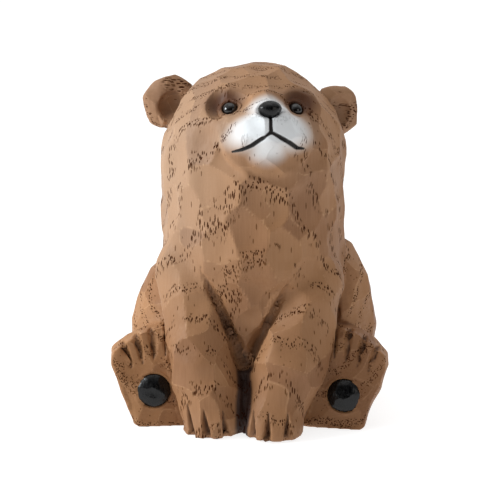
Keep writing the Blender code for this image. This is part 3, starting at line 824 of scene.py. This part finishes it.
def stained_wood(name, turn, pith):
    """Open-pored hardwood, cut with a gouge and stained brown.

    It is matt, with rows of dark pores along the year rings, a fine streak along the grain, facets that took
    the stain unevenly, and airbrushed white, brown and black, with painted shade in the cuts and hollows and
    painted light on the lit side, the head and the ridges.
    """
    mat, tree, mm = new_material(name, turn)
    pore = open_pores(tree, mm, early_wood(tree, mm, pith))
    fine = add(tree, "Mapping", {"Vector": mm, "Scale": per(0.8, 0.8, 14)})
    streak = add(tree, "TexNoise", {"Vector": fine, "Scale": 1.0, "Detail": 3.0}, "Fac")
    broad = add(tree, "Mapping", {"Vector": mm, "Scale": per(30, 30, 45)})
    patch = add(tree, "TexNoise", {"Vector": broad, "Scale": 1.0, "Detail": 2.0}, "Fac")
    mark = {kind: add(tree, "Attribute", {}, "Fac", attribute_name=kind) for kind in MARKS}

    base = linear("#946740")
    # Each tint: what it follows, from and to which values, its most, and its colour.
    tints = (
        (patch, 0.3, 0.7, 1.0, "#855935"),
        (streak, 0.35, 0.75, 0.25, "#6f4527"),
        (mark["tone"], 0.0, 1.0, 0.55, "#ab7d53"),
        # Lighter on the ridges: partly rubbed wear, partly a painted highlight.
        (mark["ridge"], 0.2, 1.0, 0.4, "#c99c72"),
    )
    for follows, low, high, most, colour in tints:
        amount = add(tree, "MapRange", {0: follows, 1: low, 2: high, 4: most}, **EASED)
        base = add(tree, "Mix", {0: amount, 6: base, 7: linear(colour)}, 2, data_type="RGBA")

    # The white paint fills the pores.
    open_share = add(tree, "MapRange", {0: mark["white"], 1: 0.35, 2: 0.9, 3: 0.97, 4: 0.12}, **EASED)
    dark_pore = add(tree, "Math", {0: pore, 1: open_share}, operation="MULTIPLY")
    coats = (
        # Pale overspray on the cheeks, and painted light: a sheen on the lit right side and the head, and
        # paler ears.
        (mark["overspray_and_painted_light"], "#b4a08c"),
        # Airbrushed brown round the eyes, and painted shade on the belly, the ears' bowls and the soles;
        # darker towards the bottom.
        (mark["umber_and_painted_shade"], "#553016"),
        # Painted shade in the cuts, the crease and the notches.
        (mark["shade"], "#2c150a"),
        (mark["white"], "#dde0e2"),
        (dark_pore, "#3a1a0b"),
        (mark["black"], "#140e0b"),
    )
    for amount, colour in coats:
        base = add(tree, "Mix", {0: amount, 6: base, 7: linear(colour)}, 2, data_type="RGBA")

    sunk = add(tree, "Math", {0: pore, 1: -0.3}, operation="MULTIPLY")
    grainy = add(tree, "Math", {0: streak, 1: 0.05}, operation="MULTIPLY")
    height = add(tree, "Math", {0: sunk, 1: grainy}, operation="ADD")
    bump = add(tree, "Bump", {"Height": height, "Strength": 0.8, "Distance": MM})
    rough = add(tree, "MapRange", {0: streak, 1: 0.3, 2: 0.7, 3: 0.58, 4: 0.7}, **EASED)
    gleam = add(tree, "MapRange", {0: pore, 1: 0.0, 2: 0.6, 3: 0.4, 4: 0.0}, **EASED)
    look = {"Base Color": base, "Roughness": rough, "IOR": 1.5, "Specular IOR Level": gleam, "Normal": bump}
    add(tree, "OutputMaterial", {"Surface": add(tree, "BsdfPrincipled", look)})
    return mat


def beech_dowel():
    """Turned beech, bare: pale, with short flecks along the pin."""
    mat, tree, mm = new_material("turned_beech")
    long = add(tree, "Mapping", {"Vector": mm, "Scale": per(4, 0.6, 0.6)})
    fleck = add(tree, "TexNoise", {"Vector": long, "Scale": 1.0}, "Fac")
    amount = add(tree, "MapRange", {0: fleck, 1: 0.4, 2: 0.7}, **EASED)
    ends = {0: amount, 6: linear("#cfa878"), 7: linear("#a87f52")}
    colour = add(tree, "Mix", ends, 2, data_type="RGBA")
    bump = add(tree, "Bump", {"Height": fleck, "Strength": 0.2, "Distance": MM})
    look = {"Base Color": colour, "Roughness": 0.6, "Normal": bump}
    add(tree, "OutputMaterial", {"Surface": add(tree, "BsdfPrincipled", look)})
    return mat


def black_glass():
    """Pressed black glass, fire-polished: a deep black with sharp small highlights."""
    mat, tree, mm = new_material("black_pressed_glass")
    cells = add(tree, "Mapping", {"Vector": mm, "Scale": per(3, 3, 3)})
    cloud = add(tree, "TexNoise", {"Vector": cells, "Scale": 1.0}, "Fac")
    ends = {0: cloud, 6: linear("#0b0a0a"), 7: linear("#16110f")}
    colour = add(tree, "Mix", ends, 2, data_type="RGBA")
    rough = add(tree, "MapRange", {0: cloud, 1: 0.3, 2: 0.7, 3: 0.05, 4: 0.1}, **EASED)
    look = {"Base Color": colour, "Roughness": rough, "IOR": 1.52}
    add(tree, "OutputMaterial", {"Surface": add(tree, "BsdfPrincipled", look)})
    return mat


def black_lacquer():
    """Black lacquer brushed over whittled wood: glossy, uneven, with soft brush drag and flats showing."""
    mat, tree, mm = new_material("brushed_black_lacquer")
    strokes = add(tree, "Mapping", {"Vector": mm, "Scale": per(0.9, 0.9, 4)})
    drag = add(tree, "TexNoise", {"Vector": strokes, "Scale": 1.0, "Detail": 3.0}, "Fac")
    cells = add(tree, "Mapping", {"Vector": mm, "Scale": per(2.5, 2.5, 2.5)})
    wave = add(tree, "TexNoise", {"Vector": cells, "Scale": 1.0}, "Fac")
    ends = {0: drag, 6: linear("#040405"), 7: linear("#0a0a0b")}
    colour = add(tree, "Mix", ends, 2, data_type="RGBA")
    rough = add(tree, "MapRange", {0: drag, 1: 0.3, 2: 0.7, 3: 0.2, 4: 0.36}, **EASED)
    wave = add(tree, "Math", {0: wave, 1: 2.0}, operation="MULTIPLY")
    height = add(tree, "Math", {0: drag, 1: wave}, operation="ADD")
    bump = add(tree, "Bump", {"Height": height, "Strength": 0.15, "Distance": MM})
    look = {"Base Color": colour, "Roughness": rough, "Specular IOR Level": 0.32, "Normal": bump}
    add(tree, "OutputMaterial", {"Surface": add(tree, "BsdfPrincipled", look)})
    return mat


# Setting

FLOOR_GREY, FLOOR_GLOW = (0.36, 0.36, 0.36, 1), 0.8
GLOW_FROM = (-0.42, 0.75, 0.5)  # the studio is brightest this way: behind, above and to the bear's right
MIDDLE = (0, 0, 0.08)  # what the lamps point at, in metres

# Lamps: place in metres, side, power in watts, colour.
LAMPS = {
    "key_box": ((-0.95, -0.3, 0.45), 0.4, 10.0, (0.92, 0.97, 1.0)),
    "fill_box": ((0.9, -0.7, 0.45), 0.5, 1.2, (1.0, 0.94, 0.88)),
    "top_box": ((0.0, 0.05, 1.2), 0.8, 1.5, (1.0, 1.0, 1.0)),
}


def make_floor():
    """Matt white board, so bright that only the contact shadow shows."""
    bm = bmesh.new()
    bmesh.ops.create_grid(bm, x_segments=1, y_segments=1, size=6)
    floor = new_object(bm, "floor")
    mat, tree, _ = new_material("matt_white_board")
    look = {"Base Color": FLOOR_GREY, "Roughness": 0.9, "Specular IOR Level": 0.1}
    look.update({"Emission Color": WHITE, "Emission Strength": FLOOR_GLOW})
    add(tree, "OutputMaterial", {"Surface": add(tree, "BsdfPrincipled", look)})
    floor.data.materials.append(mat)


def make_lamps():
    for name, (at, side, power, colour) in LAMPS.items():
        light = bpy.data.lights.new(name, "AREA")
        light.shape = "RECTANGLE"
        light.size = side
        light.size_y = side
        light.energy = power
        light.color = colour
        obj = bpy.data.objects.new(name, light)
        bpy.context.scene.collection.objects.link(obj)
        obj.location = at
        obj.rotation_euler = (Vector(MIDDLE) - Vector(at)).to_track_quat("-Z", "Y").to_euler()


def make_studio():
    """A white studio that lights the bear from behind and leaves its front to the lamps."""
    world = bpy.data.worlds.new("studio")
    bpy.context.scene.world = world
    world.use_nodes = True
    tree = world.node_tree
    tree.nodes.clear()
    way = add(tree, "TexCoord", {}, "Generated")
    behind = add(tree, "VectorMath", {0: way, 1: GLOW_FROM}, "Value", operation="DOT_PRODUCT")
    glow = add(tree, "MapRange", {0: behind, 1: -0.5, 2: 0.45, 4: 0.92}, **EASED)
    seen = add(tree, "LightPath", {}, "Is Camera Ray")
    glow = add(tree, "Math", {0: glow, 1: seen}, operation="MAXIMUM")
    backdrop = add(tree, "Background", {"Color": WHITE, "Strength": glow})
    add(tree, "OutputWorld", {"Surface": backdrop})


def make_camera():
    target = Vector((-0.0011, -0.0023, 0.0662))
    azimuth, elevation, away = math.radians(2.5), math.radians(15), 0.9
    level = math.cos(elevation)
    out = Vector((math.sin(azimuth) * level, -math.cos(azimuth) * level, math.sin(elevation)))
    camera = bpy.data.cameras.new("camera")
    camera.lens = 158
    camera.sensor_width = 36
    camera.clip_start = 0.01
    obj = bpy.data.objects.new("camera", camera)
    bpy.context.scene.collection.objects.link(obj)
    obj.location = target + out * away
    obj.rotation_euler = (-out).to_track_quat("-Z", "Y").to_euler()
    bpy.context.scene.camera = obj


# How the wood's grain is turned in the legs and the ears, and where the pith of each block's tree was.
LEG_TURN, EAR_TURN = (math.radians(80), 0, 0), (0, math.radians(86), 0)
BODY_PITH, EAR_PITH = (1.0, 107.0, 0.0), (110.0, 60.0, 10.0)


def main():
    carve_body(stained_wood("stained_ash_block", (0, 0, 0), BODY_PITH))
    for side, sign in SIDES.items():
        leg_pith = (sign * 20.0, -70.0, 60.0)
        carve_leg(side, stained_wood(f"stained_ash_{side}_leg", LEG_TURN, leg_pith))
        carve_ear(side, stained_wood(f"stained_ash_{side}_ear", EAR_TURN, EAR_PITH))
    glass = black_glass()
    lacquer = black_lacquer()
    for side in SIDES:
        make_eye(side, glass)
        make_pad(side, lacquer)
    make_nose(lacquer)
    beech = beech_dowel()
    for name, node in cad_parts.items():
        if "dowel" in name:
            node.data.materials.clear()
            node.data.materials.append(beech)
    make_floor()
    make_studio()
    make_lamps()
    make_camera()
    bpy.context.scene.view_settings.view_transform = "Standard"


main()
